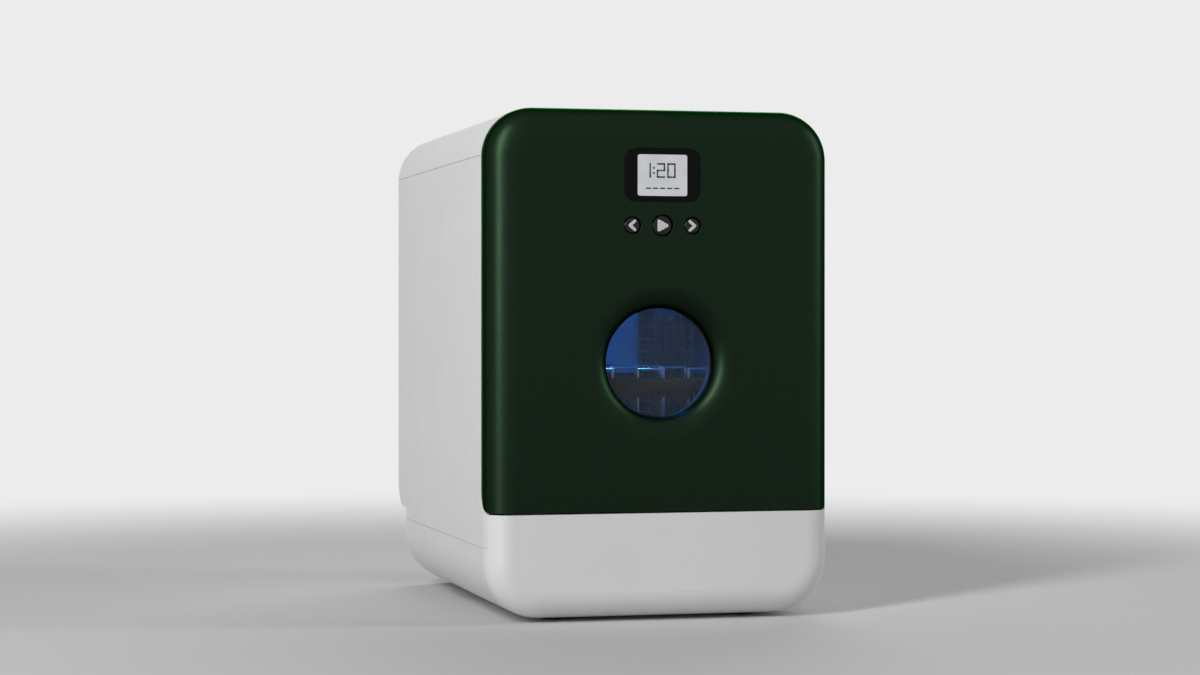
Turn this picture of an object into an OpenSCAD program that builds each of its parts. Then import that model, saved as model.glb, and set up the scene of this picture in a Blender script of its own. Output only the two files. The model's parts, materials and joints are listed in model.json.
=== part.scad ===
// Countertop dishwasher with a drop-down door, a round window and a slide-out rack.
// Origin at the bottom centre, +Z up, the door faces -Y. Millimetres.

/* [Body] */
// Width of the body
body_w = 340; // [320:1:380]
// Depth of the body, front face to rear cover
body_d = 490; // [470:1:540]
// Height of the body with its feet
body_h = 490; // [480:1:530]
// Height that the feet hold the body above the table
foot_h = 4; // [3:0.5:8]
// Radius of a foot
foot_r = 11; // [9:0.5:13]
// Wall of the outer mouldings
wall = 3; // [2.4:0.1:3.4]
// Radius of the two top corners, seen from the front
top_r = 47; // [40:1:55]
// Radius of the two bottom corners, seen from the front
bottom_r = 53; // [45:1:58]
// Radius of the rounding from the front face to the sides
front_r = 25; // [18:1:30]
// Clearance between two mouldings of the housing
fit = 0.3; // [0.2:0.05:0.4]

/* [Housing] */
// Distance of the seam under the top cover from the top
top_band = 45; // [42:1:50]
// Height of the seam between the side panels and the base
low_seam = 71; // [68:1:76]
// How far the base's rear wall stands in front of the rear cover
rear_step = 50; // [46:1:54]
// Height of the underside of the rear overhang
step_z = 83.5; // [82:0.5:85]
// Radius of the rear overhang's lower edge
step_r = 30; // [24:1:34]
// Radius of the hollow fillet under the rear overhang
hollow_r = 6; // [5:0.5:7]
// How far the base wraps round the front corner
front_wrap = 16; // [12:1:20]
// Width of a hand grip recess in the underside
grip_w = 22; // [18:1:24]
// Length of a hand grip recess
grip_l = 84; // [70:1:100]

/* [Door] */
// Depth of the door
door_depth = 33; // [31:0.5:34]
// Height of the line between door and base
door_z = 104; // [103:0.5:106]
// Gap round the door
door_gap = 0.8; // [0.6:0.1:1.2]
// Radius of the door's lower rear edge
door_heel_r = 23; // [20:1:24]
// Distance of the hinge axis from the door's front face and from its bottom edge
hinge_in = 10; // [9.5:0.1:10.5]
// Radius of a hinge pin
hinge_pin_r = 3.5; // [3:0.1:3.8]
// Running clearance of shafts and pins in their bores
running = 0.06; // [0.04:0.01:0.09]
// Distance of a hinge from the middle of the body
hinge_x = 120; // [112:1:124]
// How far the liner's pressed panel stands towards the tub
liner_press = 4; // [2:0.5:4]

/* [Window] */
// Height of the window's centre
window_z = 247; // [242:1:256]
// Radius of the visible glass
glass_r = 54; // [48:1:56]
// Radius at which the rounded lip of the dish round the glass ends
dish_r = 61; // [60:1:66]
// Depth of the glass behind the front face
dish_depth = 16; // [14:0.5:17]
// Rounding of the dish's mouth
dish_lip = 14; // [9:0.5:14.5]
// Thickness of a pane
pane_t = 4; // [3:0.5:5]

/* [Controls] */
// Width of the black display lens
lens_w = 75; // [68:1:80]
// Height of the display lens
lens_h = 51; // [47:1:55]
// Corner radius of the display lens
lens_r = 11.5; // [9:0.5:14]
// Thickness of the display lens
lens_t = 1.6; // [1.2:0.1:1.8]
// Distance of the lens's centre from the top
lens_drop = 64; // [60:1:66]
// Width of the lit display
screen_w = 49; // [44:1:52]
// Height of the lit display
screen_h = 39.5; // [35:0.5:41]
// Distance of the three buttons from the top
button_drop = 112; // [108:1:115]
// Distance from one button to the next
button_pitch = 29.7; // [27:0.1:33]
// Radius of the two side buttons
button_r = 8.2; // [7:0.1:9]
// Radius of the middle button
start_r = 10.2; // [9:0.1:11]
// Clearance round a button
button_gap = 0.3; // [0.25:0.05:0.45]
// Travel of a button
press = 1; // [0.8:0.1:1.2]
// Thickness of a circuit board
board_t = 1.6; // [1.2:0.1:2]

/* [Tub] */
// Space between the housing and the tub at each side
tub_side = 24.5; // [20:0.5:28]
// Wall of the tub
tub_wall = 2.5; // [2:0.1:3]
// Height of the tub's floor
tub_floor = 118; // [116:0.5:119]
// Distance of the tub's ceiling from the top
tub_drop = 94; // [90:1:98]
// Space between the rear cover and the tub's rear wall
tub_rear = 72.5; // [70:0.5:80]
// Radius of the tub's corners
tub_r = 16; // [12:1:20]
// How far the mouth's side edges stand inside the tub's walls
mouth_side = 4; // [3:0.5:5]
// Height of the sill above the tub's floor
sill = 12; // [10:0.5:13]
// Thickness of the door gasket
gasket_t = 6; // [5:0.5:6.5]
// Width of the gasket's section
gasket_w = 6; // [5:0.5:6]

/* [Rack] */
// Height of the rack's lowest bars
rack_z = 160; // [158:1:162]
// Height of the rack's rim
rim_z = 231; // [228:1:234]
// Height of the rim's band
rim_h = 10; // [8:1:12]
// Distance of the rack's front from the front face
rack_front = 55; // [55:1:60]
// Gap between the rack and the tub's rear wall
rack_back = 20; // [14:1:30]
// Clearance from the rim to the sides of the mouth
rim_side = 3; // [2.5:0.5:4]
// Distance from one arch to the next
arch_pitch = 26; // [22:0.5:30]
// Width of the bars between arches
rib = 5; // [3.5:0.5:6]
// Thickness of the rack's walls and bars
bar = 3; // [2.5:0.5:3.5]
// Gap between the rack's panels where they clip together
clip = 0.05; // [0.03:0.01:0.1]
// Radius of the rack's wires
wire_r = 1.5; // [1.2:0.1:2]
// Height of the wire hoops above the rim
hoop_rise = 10; // [6:1:14]
// Width of the cutlery basket
basket_w = 44; // [38:1:50]
// Depth of the cutlery basket
basket_d = 64; // [54:1:70]
// Height of the cutlery basket
basket_h = 138; // [120:1:140]
// Wall of the cutlery basket
basket_wall = 2; // [1.6:0.1:2.4]

/* [Water] */
// Radius of the spray arms' spindle
spindle_r = 8; // [7:0.5:9]
// Length of a lower spray arm from its hub
lower_arm = 116; // [100:1:120]
// Length of an upper spray arm from its hub
upper_arm = 88; // [70:1:100]
// Radius of the sump
sump_r = 40; // [37:1:42]
// Distance of the sump from the middle
sump_x = 72; // [68:1:76]
// Distance of the sump behind the spindle
sump_y = 82; // [78:1:86]
// Radius of the pipes
pipe_r = 8; // [7:0.5:9]
// Wall of the pipes
pipe_wall = 1.6; // [1.2:0.1:2]
// Radius of the bends in the pipes
bend_r = 20; // [16:1:22]
// Radius of the circulation pump's volute
volute_r = 34; // [30:1:36]
// Length of the circulation pump's motor
motor_l = 70; // [60:1:76]
// Radius of the drain pump's volute
drain_r = 22; // [20:1:24]
// Radius of the threaded water inlet, over its thread
inlet_r = 13; // [12.5:0.1:13.5]
// Radius of the drain spigot
drain_pipe_r = 9.5; // [8.5:0.1:10.5]
// Length of the two spigots behind the base
spigot_l = 22; // [18:1:26]
// Height of the water tank
tank_h = 60; // [50:1:61]
// Wall of the water tank
tank_wall = 2.5; // [2:0.1:3]
// Radius of the filler mouth
filler_r = 24; // [20:1:26]

/* [Hidden] */
$fn = 64;
eps = 1;

front = -body_d / 2;
rear = body_d / 2;
half = body_w / 2;
top_seam = body_h - top_band;
lens_z = body_h - lens_drop;
button_z = body_h - button_drop;
tub_top = body_h - tub_drop;
white = "gainsboro";
green = "darkgreen";
grey = "dimgray";
steel = "silver";
black = "#202020";

door_back = front + door_depth;
door_rear = door_back - door_gap / 2;
shell_front = door_back + door_gap / 2;
door_low = door_z + door_gap / 2;
base_top = door_z - door_gap / 2;
base_rear = rear - rear_step;
hinge_y = front + hinge_in;
hinge_z = door_low + hinge_in;
frame_y = door_back + gasket_t;
frame_back = frame_y + wall;
inner_half = half - wall;
shelf_z = door_low - hinge_in * 0.95;

tub_half = inner_half - tub_side - tub_wall;
tub_back = rear - tub_rear - tub_wall;
mouth_half = tub_half - mouth_side;
mouth_low = tub_floor + sill;
mouth_top = tub_top - mouth_side;
mouth_r = tub_r + 2;
roof = tub_top + tub_wall;
under_tub = tub_floor - tub_wall;

glass_y = front + dish_depth;
liner_y = door_rear - wall;
press_y = door_rear + liner_press;
ring_r = glass_r + 8;
floor_in = foot_h + wall;
board_y = front + wall + 6;
switch_front = board_y - 2.2;
foot_x = half - 74;
foot_y = [front + 55, base_rear - 15];
screw_x = half - 62;
screw_y = [front + 110, base_rear - 45];

rack_half = mouth_half - rim_side;
rack_y0 = front + rack_front;
rack_y1 = tub_back - rack_back;
rim_in = rack_half - 9;
rim_low = rim_z - rim_h;
rack_floor = rack_z + bar;
spray_y = -10;
pump_x = -10;
sump_at = [sump_x, spray_y + sump_y];
sump_low = 25;
tee_z = 90;
pump_z = floor_in + volute_r + 4;
heater_r = 18;
heater_z = pump_z + 12;
heater_x = pump_x - 18;
riser_y = tub_back + tub_wall + pipe_r + 4;
riser_top = roof + pipe_r + 4;
fill_y = riser_y + 18;
fill_z = under_tub - pipe_r - 7;
drain_x = 122;
drain_z = 40;
drain_y = -36;
drain_pump_x = drain_x - 46;
inlet_x = 60;
inlet_z = 45;
power_x = -80;
power_z = 50;
board_w = 70;
board_l = 120;
tank_z = riser_top + pipe_r + 2.5;
tank_x0 = -half + 36;
tank_x1 = half - 86;
tank_y0 = -120;
tank_y1 = rear - 10;
flap_at = [-40, 150];
flap_w = 88;
flap_d = 68;
flap_t = 3.4;
pad_z = tank_z + tank_h + 2;
fan_x = half - 54;
fan_z = roof + 40;
fan_y = rear - wall - 38;
duct_y = 130;

// An outline in X and Z, drawn out from y0 to y1
module along_y(y0, y1) {
    translate([0, y1, 0]) rotate([90, 0, 0]) linear_extrude(y1 - y0) children();
}
// An outline in Y and Z, drawn out from x0 to x1
module along_x(x0, x1) {
    translate([x0, 0, 0]) rotate([90, 0, 90]) linear_extrude(x1 - x0) children();
}
// An outline in X and Y, drawn out from z0 to z1
module along_z(z0, z1) {
    translate([0, 0, z0]) linear_extrude(z1 - z0) children();
}
module box(x0, x1, y0, y1, z0, z1) {
    translate([x0, y0, z0]) cube([x1 - x0, y1 - y0, z1 - z0]);
}
module rod_x(x0, x1, y, z, r) {
    translate([x0, y, z]) rotate([0, 90, 0]) cylinder(r = r, h = x1 - x0);
}
module rod_y(x, y0, y1, z, r) {
    translate([x, y0, z]) rotate([-90, 0, 0]) cylinder(r = r, h = y1 - y0);
}
module rod_z(x, y, z0, z1, r) {
    translate([x, y, z0]) cylinder(r = r, h = z1 - z0);
}
module both_sides() {
    children();
    mirror([1, 0, 0]) children();
}
// A rectangle with round corners
module round_rect(x0, x1, y0, y1, r) {
    translate([x0 + r, y0]) square([x1 - x0 - 2 * r, y1 - y0]);
    translate([x0, y0 + r]) square([x1 - x0, y1 - y0 - 2 * r]);
    for (x = [x0 + r, x1 - r], y = [y0 + r, y1 - r]) translate([x, y]) circle(r);
}
// The section of a front edge: r from the corner's axis out, rounded by e at the front
module edge_section(r, e, depth) {
    square([r - e, depth]);
    translate([0, e]) square([r, depth - e]);
    intersection() {
        translate([r - e, e]) circle(e, $fn = 96);
        translate([r - e, 0]) square(e);
    }
}
// The body's solid form above z_low: round top corners and a rounded front edge
module upper_form(inset, z_low, z_top, r, y1) {
    // the corner's axis is the same for the outer form and for one set in by a wall
    axis = half - (r + inset);
    e = front_r - inset;
    y0 = front + inset;
    along_x(-axis, axis) translate([y0, 0]) difference() {
        translate([0, z_low]) square([y1 - y0, z_top - z_low]);
        difference() {
            translate([-eps, z_top - e]) square([e + eps, e + eps]);
            translate([e, z_top - e]) circle(e, $fn = 96);
        }
    }
    for (s = [-1, 1]) {
        along_z(z_low, z_top - r) scale([s, 1]) translate([axis, y0]) edge_section(r, e, y1 - y0);
        translate([s * axis, y0, z_top - r]) rotate([-90, 0, 0]) rotate([0, 0, s > 0 ? -90 : 180])
            rotate_extrude(angle = 90, $fn = 96) edge_section(r, e, y1 - y0);
    }
}
module lower_form(inset, z_high, y1) {
    mirror([0, 0, 1]) upper_form(inset, -z_high, -(foot_h + inset), bottom_r - inset, y1);
}
// The housing's outline seen from the front, above z_low
module top_outline(inset, z_low) {
    r = top_r - inset;
    w = half - inset;
    z = body_h - inset;
    intersection() {
        translate([-w, z_low]) square([2 * w, z - z_low]);
        union() {
            translate([-w, z_low - eps]) square([2 * w, z - r - z_low + eps]);
            translate([-(w - r), z_low - eps]) square([2 * (w - r), z - z_low + eps]);
            for (s = [-1, 1]) translate([s * (w - r), z - r]) circle(r, $fn = 96);
        }
    }
}
// The rear of the housing seen from the side: overhang, hollow fillet and the base's rear wall
module rear_outline(inset) {
    y = rear - inset;
    r = step_r - inset;
    z = step_z + inset;
    translate([0, low_seam]) square([base_rear - inset, z - low_seam + eps]);
    translate([0, z + r]) square([y, body_h - z - r]);
    translate([0, z]) square([y - r, r + eps]);
    translate([y - r, z + r]) circle(r, $fn = 96);
    difference() {
        translate([base_rear - inset - eps, z - hollow_r - inset])
            square([hollow_r + inset + eps, hollow_r + inset + eps]);
        translate([base_rear + hollow_r, step_z - hollow_r]) circle(hollow_r + inset, $fn = 96);
    }
}
// The door's lower rear edge, rounded by r about the heel's axis
module heel_cut(r, y, z) {
    difference() {
        translate([y - r, z - eps]) square([r + eps, r + eps]);
        translate([y - r, z + r]) circle(r, $fn = 96);
    }
}
// A side panel's outline seen from the side, clear of the door and its round heel
module side_outline() {
    difference() {
        union() {
            rear_outline(0);
            translate([front + front_wrap + fit, low_seam]) square([eps - front - front_wrap - fit, body_h]);
        }
        translate([front, top_seam - fit]) square([body_d + eps, body_h]);
        translate([front, low_seam - eps]) square([body_d, eps + fit]);
        translate([front - eps, door_low + door_heel_r]) square([shell_front - front + eps, body_h]);
        translate([door_rear - door_heel_r, door_low + door_heel_r])
            circle(door_heel_r + door_gap, $fn = 96);
        translate([front - eps, base_top]) square([door_rear - door_heel_r - front + eps, body_h]);
    }
}
module grip_box(grow, z0, z1) {
    x = half - 36;
    y = 50;
    box(x - grip_w / 2 - grow, x + grip_w / 2 + grow, y - grip_l / 2 - grow, y + grip_l / 2 + grow, z0, z1);
}
// The space over the base's sloping edge: distance from the front corners' axis, and height
module slope_section() {
    reach = front_r - front_wrap - eps;
    polygon([[front_r, base_top], [reach, base_top - hinge_in], [reach, base_top + eps], [front_r, base_top + eps]]);
}
module base_tray() {
    grip_z = 27;
    color(white) difference() {
        lower_form(0, base_top, base_rear);
        difference() {
            lower_form(wall, base_top + eps, base_rear - wall);
            // pockets of the hand grips
            both_sides() grip_box(wall, foot_h, grip_z + wall);
            // bosses of the four base screws
            for (s = [-1, 1], y = screw_y) rod_z(s * screw_x, y, foot_h, floor_in + 8, 6);
        }
        // the side panels and the rear cover start here
        box(-half - eps, half + eps, front + front_wrap, rear, low_seam, body_h);
        // the front wall's upper edge slopes in under the door, also round the corners
        along_x(-half + front_r, half - front_r) translate([front + front_r, 0]) mirror([1, 0]) slope_section();
        both_sides() translate([half - front_r, front + front_r, 0]) rotate([0, 0, -90])
            rotate_extrude(angle = 90, $fn = 96) slope_section();
        both_sides() grip_box(0, 0, grip_z);
        for (s = [-1, 1], y = screw_y) {
            rod_z(s * screw_x, y, foot_h - eps, floor_in + 9, 2);
            rod_z(s * screw_x, y, foot_h - eps, foot_h + 3.5, 4.2);
        }
        rod_y(inlet_x, base_rear - wall - eps, base_rear + eps, inlet_z, inlet_r + fit);
        rod_y(drain_x, base_rear - wall - eps, base_rear + eps, drain_z, drain_pipe_r + fit);
        box(power_x - 14 - fit, power_x + 14 + fit, base_rear - wall - eps, base_rear + eps,
            power_z - 10 - fit, power_z + 10 + fit);
    }
}
// The left side's skin in plan: flat, then turning in with the body's front rounding
module side_plan(inset) {
    r = front_r - inset;
    scale([-1, 1]) translate([half - front_r, front + inset]) edge_section(r, r, body_d);
}
module side_panel() {
    intersection() {
        along_x(-half, -half + front_r) side_outline();
        difference() {
            along_z(low_seam, top_seam) side_plan(0);
            along_z(low_seam - eps, top_seam + eps) side_plan(wall);
        }
    }
}
module left_side_panel() {
    color(white) side_panel();
}
module right_side_panel() {
    color(white) mirror([1, 0, 0]) side_panel();
}
module flap_box(grow, z0, z1) {
    box(flap_at[0] - flap_w / 2 - grow, flap_at[0] + flap_w / 2 + grow,
        flap_at[1] - flap_d / 2 - grow, flap_at[1] + flap_d / 2 + grow, z0, z1);
}
module top_cover() {
    color(white) difference() {
        union() {
            difference() {
                along_y(shell_front, rear) top_outline(0, top_seam);
                along_y(shell_front - eps, rear + eps) top_outline(wall, top_seam - eps);
            }
            flap_box(6, pad_z, body_h - eps);
        }
        flap_box(fit, body_h - flap_t - fit, body_h + eps);
        rod_z(flap_at[0], flap_at[1], pad_z - eps, body_h, filler_r);
        flap_pins(running, 2.2);
    }
}
// The flap's two hinge pins, grown by a clearance
module flap_pins(grow, reach) {
    rod_x(flap_at[0] - flap_w / 2 - reach, flap_at[0] + flap_w / 2 + reach,
        flap_at[1] + flap_d / 2 - flap_t / 2, body_h - flap_t / 2, 1 + grow);
}
module rear_cover() {
    color(white) difference() {
        along_x(-inner_half + fit, inner_half - fit) difference() {
            rear_outline(0);
            rear_outline(wall);
            square([base_rear - hollow_r, body_h]);
            translate([0, low_seam - eps]) square([rear, eps + fit]);
        }
        // the top corners follow the cover above
        difference() {
            box(-half, half, rear - 30, rear + eps, top_seam - 20, body_h + eps);
            along_y(rear - 31, rear + 2) top_outline(wall + fit, top_seam - 21);
        }
        // vents behind the fan
        for (i = [0 : 5]) box(fan_x - 22, fan_x + 22, rear - wall - eps, rear + eps,
            fan_z - 22 + i * 8, fan_z - 18 + i * 8);
        // vents behind the pumps
        for (i = [0 : 7]) box(-60, 60, rear - wall - eps, rear + eps, 130 + i * 9, 134 + i * 9);
    }
}
module front_frame() {
    color(white) difference() {
        union() {
            along_y(frame_y, frame_back) top_outline(wall + fit, shelf_z - wall);
            box(-inner_half + 14, inner_half - 14, front + wall + fit + 2, frame_back, shelf_z - wall, shelf_z);
        }
        along_y(frame_y - eps, frame_back + eps)
            round_rect(-mouth_half, mouth_half, mouth_low, mouth_top, mouth_r);
        box(-7, 7, frame_y - eps, frame_back + eps, roof + 8, roof + 30);
        rod_y(60, frame_y - eps, frame_back + eps, roof + 18, 3.5);
    }
}
module feet() {
    color(black) for (s = [-1, 1], y = foot_y)
        translate([s * foot_x, y, 0]) rotate_extrude() polygon([
            [0, 0], [foot_r - 1, 0], [foot_r, 1], [foot_r, foot_h], [0, foot_h]]);
}
module housing_screws() {
    color(steel) {
        for (s = [-1, 1], y = screw_y) {
            rod_z(s * screw_x, y, foot_h + 1, foot_h + 3.5, 3.8);
            rod_z(s * screw_x, y, foot_h + 3, floor_in + 8, 1.9);
        }
    }
}

module door_outer() {
    z_top = body_h;
    color(green) difference() {
        upper_form(0, door_low, z_top, top_r, door_rear);
        difference() {
            upper_form(wall, door_low + wall, z_top - wall, top_r - wall, door_rear + eps);
            along_x(-half, half) heel_cut(door_heel_r - wall, door_rear, door_low + wall);
            // wall of the dish round the window
            translate([0, front, window_z]) rotate([-90, 0, 0]) rotate_extrude($fn = 96) {
                difference() {
                    square([dish_r + dish_lip, dish_lip]);
                    translate([dish_r + dish_lip, dish_lip]) circle(dish_lip - wall, $fn = 96);
                }
                polygon([[0, 0], [dish_r, 0], [dish_r + wall, dish_lip], [glass_r + 6, dish_depth],
                    [0, dish_depth]]);
            }
            // posts of the control board
            for (x = [-48, 48], z = [button_z - 12, lens_z + 20]) rod_y(x, front, board_y, z, 3.5);
        }
        along_x(-half - eps, half + eps) heel_cut(door_heel_r, door_rear, door_low);
        // the dish: a rounded mouth that narrows to the glass
        translate([0, front, window_z]) rotate([-90, 0, 0]) rotate_extrude($fn = 96) union() {
            translate([0, -eps]) square([glass_r, dish_depth + 2 * eps]);
            difference() {
                translate([0, -eps]) square([dish_r + dish_lip, dish_lip + eps]);
                translate([dish_r + dish_lip, dish_lip]) circle(dish_lip, $fn = 96);
            }
            polygon([[glass_r - eps, dish_lip], [dish_r, dish_lip], [glass_r, dish_depth - 1], [glass_r - eps, dish_depth]]);
        }
        // pocket of the lens and the window behind it
        along_y(front - eps, front + lens_t + 0.2)
            round_rect(-lens_w / 2 - 0.2, lens_w / 2 + 0.2, lens_z - lens_h / 2 - 0.2, lens_z + lens_h / 2 + 0.2, lens_r);
        along_y(front, front + wall + eps) screen_outline(0.3);
        for (i = [-1 : 1]) rod_y(i * button_pitch, front - eps, front + wall + eps, button_z,
            (i == 0 ? start_r : button_r) + button_gap);
        // slots that pass over the hinge brackets
        both_sides() box(hinge_x - 2.5 - eps, hinge_x + 2.5 + eps, hinge_y - 7.5, door_rear + eps,
            door_low - eps, hinge_z + 7.5);
    }
}
module screen_outline(grow) {
    translate([-screen_w / 2 - grow, lens_z - screen_h / 2 - grow])
        square([screen_w + 2 * grow, screen_h + 2 * grow]);
}
module door_liner() {
    low = door_low + door_heel_r + fit;
    color(white) difference() {
        union() {
            along_y(liner_y, door_rear) top_outline(wall + fit, low);
            along_y(liner_y, press_y) round_rect(-mouth_half + 10, mouth_half - 10, mouth_low + 8, mouth_top - 8, mouth_r);
        }
        // the pressed panel is hollow behind
        along_y(liner_y - eps, press_y - wall)
            round_rect(-mouth_half + 10 + wall, mouth_half - 10 - wall, mouth_low + 8 + wall, mouth_top - 8 - wall, mouth_r - wall);
        rod_y(0, liner_y - eps, press_y + eps, window_z, ring_r - 2 + fit);
        for (x = [-12, 12]) rod_y(x, liner_y - eps, door_rear + eps, roof + 30, 1.6);
    }
}
module outer_glass() {
    color("lightsteelblue", 0.4) rod_y(0, glass_y, glass_y + pane_t, window_z, glass_r + 5);
}
module inner_glass() {
    color("lightsteelblue", 0.4) rod_y(0, press_y - wall, press_y, window_z, ring_r - 2);
}
module window_ring() {
    color(black) difference() {
        rod_y(0, glass_y + pane_t, press_y - wall, window_z, ring_r);
        rod_y(0, glass_y, press_y, window_z, glass_r);
    }
}
module screen_lens() {
    color("black") along_y(front + 0.2, front + lens_t + 0.2)
        round_rect(-lens_w / 2, lens_w / 2, lens_z - lens_h / 2, lens_z + lens_h / 2, lens_r);
}
module display_module() {
    color("whitesmoke") {
        along_y(front + lens_t + 0.2, front + wall) screen_outline(0);
        box(-screen_w / 2 - 5, screen_w / 2 + 5, front + wall, board_y, lens_z - screen_h / 2 - 4, lens_z + screen_h / 2 + 4);
    }
}
module control_board() {
    color("darkolivegreen") difference() {
        box(-55, 55, board_y, board_y + board_t, button_z - 18, lens_z + 26);
        for (x = [-48, 48], z = [button_z - 12, lens_z + 20]) rod_y(x, board_y - eps, board_y + board_t + eps, z, 1.6);
    }
    color(grey) box(-30, 10, board_y + board_t, board_y + board_t + 4, button_z + 20, button_z + 40);
}
module button_switches() {
    color(grey) for (i = [-1 : 1]) {
        box(i * button_pitch - 3, i * button_pitch + 3, switch_front + 0.6, board_y, button_z - 3, button_z + 3);
        rod_y(i * button_pitch, switch_front, switch_front + 0.6, button_z, 1.6);
    }
}
// A domed cap with a collar behind the wall and a stem to its switch
module button_cap(x, r) {
    back = wall + fit;
    flange = 0.9;
    dome = r * 3;
    translate([x, front, button_z]) rotate([-90, 0, 0]) rotate_extrude() {
        intersection() {
            translate([0, dome]) circle(dome);
            square([r, back + flange]);
        }
        translate([0, back]) square([r + 1.4, flange]);
        translate([0, back]) square([2.2, switch_front - press - 0.15 - front - back]);
    }
}
module button_back() {
    color("black") button_cap(-button_pitch, button_r);
}
module button_start() {
    color("black") button_cap(0, start_r);
}
module button_next() {
    color("black") button_cap(button_pitch, button_r);
}

module hinge_arms() {
    x0 = hinge_x + 3.5;
    r = hinge_in - wall - 0.5;
    color(steel) both_sides() difference() {
        union() {
            rod_x(x0, x0 + 5, hinge_y, hinge_z, r);
            box(x0, x0 + 5, front + wall, front + wall + 12, hinge_z, hinge_z + 46);
            box(x0 - 14, x0 + 5, front + wall, front + wall + 2.5, hinge_z + 14, hinge_z + 46);
        }
        rod_x(x0 - eps, x0 + 5 + eps, hinge_y, hinge_z, hinge_pin_r + running);
    }
}
module hinge_brackets() {
    r = hinge_in - wall - 0.5;
    color(steel) both_sides() difference() {
        union() {
            rod_x(hinge_x - 2.5, hinge_x + 2.5, hinge_y, hinge_z, r);
            box(hinge_x - 2.5, hinge_x + 2.5, hinge_y, frame_y, hinge_z - 6, hinge_z + 6);
            box(hinge_x - 11, hinge_x + 11, frame_y - 3, frame_y, shelf_z, mouth_low - gasket_w - 4);
        }
        rod_x(hinge_x - 3, hinge_x + 3, hinge_y, hinge_z, hinge_pin_r + running);
    }
}
module hinge_pins() {
    color(steel) both_sides() {
        rod_x(hinge_x - 5, hinge_x + 9, hinge_y, hinge_z, hinge_pin_r);
        rod_x(hinge_x + 9, hinge_x + 10.5, hinge_y, hinge_z, hinge_pin_r + 1.5);
    }
}
module door_gasket() {
    in = 3;
    out = in + gasket_w;
    color(grey) along_y(door_rear + fit, frame_y) difference() {
        round_rect(-mouth_half - out, mouth_half + out, mouth_low - out, mouth_top + out, mouth_r + out);
        round_rect(-mouth_half - in, mouth_half + in, mouth_low - in, mouth_top + in, mouth_r + in);
    }
}
module door_striker() {
    color(steel) {
        box(-16, 16, door_rear, door_rear + 2, roof + 8, roof + 34);
        box(-4, 4, door_rear + 2, frame_y + 16, roof + 13, roof + 21);
    }
}
module latch_catch() {
    color(grey) difference() {
        box(-14, 14, frame_back, frame_back + 28, roof, roof + 36);
        box(-6, 6, frame_back - eps, frame_back + 20, roof + 9, roof + 30);
    }
}
module switch_housing() {
    z = roof + 18;
    color(grey) difference() {
        box(51, 69, frame_back, frame_back + 16, roof, z + 9);
        rod_y(60, frame_back - eps, frame_back + 12, z, 3.3);
    }
}
module switch_plunger() {
    color(white) rod_y(60, door_rear + 0.5, frame_back + 8, roof + 18, 3.2);
}

module tub() {
    color("lightgray") difference() {
        along_y(frame_back, tub_back + tub_wall)
            round_rect(-tub_half - tub_wall, tub_half + tub_wall, under_tub, roof, tub_r + tub_wall);
        along_y(frame_back - eps, tub_back)
            round_rect(-tub_half, tub_half, tub_floor, tub_top, tub_r);
        rod_z(sump_at[0], sump_at[1], under_tub - eps, tub_floor + eps, sump_r - 3);
        rod_z(0, spray_y, under_tub - eps, tub_floor + eps, spindle_r + fit);
        rod_z(0, spray_y, tub_top - eps, roof + eps, spindle_r - 1 + fit);
        rod_z(fan_x, duct_y, tub_top - eps, roof + eps, 12);
    }
}
module tub_lamp() {
    color("deepskyblue") box(-50, 50, frame_back + 14, frame_back + 24, tub_top - 4, tub_top);
}
module rack_rails() {
    color(grey) both_sides()
        box(rack_half - 6, tub_half, rack_y0 - 8, rack_y1 + 6, rim_low - fit - 8, rim_low - fit);
}
// A wall of round-headed arches: length along x, height up from the rack's floor
module arch_wall(length) {
    h = rim_low - clip - rack_z;
    n = floor((length - rib) / arch_pitch);
    r = (arch_pitch - rib) / 2;
    head = h - 5 - r;
    start = (length - n * arch_pitch - rib) / 2;
    difference() {
        square([length, h]);
        for (i = [0 : n - 1]) translate([start + rib + i * arch_pitch, 0]) {
            translate([0, bar + 2]) square([2 * r, head - bar - 2]);
            translate([r, head]) circle(r, $fn = 48);
        }
    }
}
module rack_frame() {
    w = rim_in + bar;
    y0 = rack_y0 + 9;
    y1 = rack_y1 - 9;
    inner = bar + clip;
    color(grey) {
        along_z(rim_low, rim_z) difference() {
            round_rect(-rack_half, rack_half, rack_y0, rack_y1, 16);
            round_rect(-rim_in, rim_in, y0, y1, 8);
        }
        translate([-w, y0 + bar, rack_z]) rotate([90, 0, 0]) linear_extrude(bar) arch_wall(2 * w);
        translate([-w, y1, rack_z]) rotate([90, 0, 0]) linear_extrude(bar) arch_wall(2 * w);
        for (x = [-w, rim_in]) translate([x, y0 + inner, rack_z]) rotate([90, 0, 90])
            linear_extrude(bar) arch_wall(y1 - y0 - 2 * inner);
        for (x = [-4 : 4])
            box(x * arch_pitch - bar / 2, x * arch_pitch + bar / 2, y0 + inner, y1 - inner, rack_z, rack_floor);
        for (y = [y0 + arch_pitch : arch_pitch : y1 - inner - bar])
            box(-w + inner, w - inner, y, y + bar, rack_z, rack_floor);
    }
}
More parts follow.
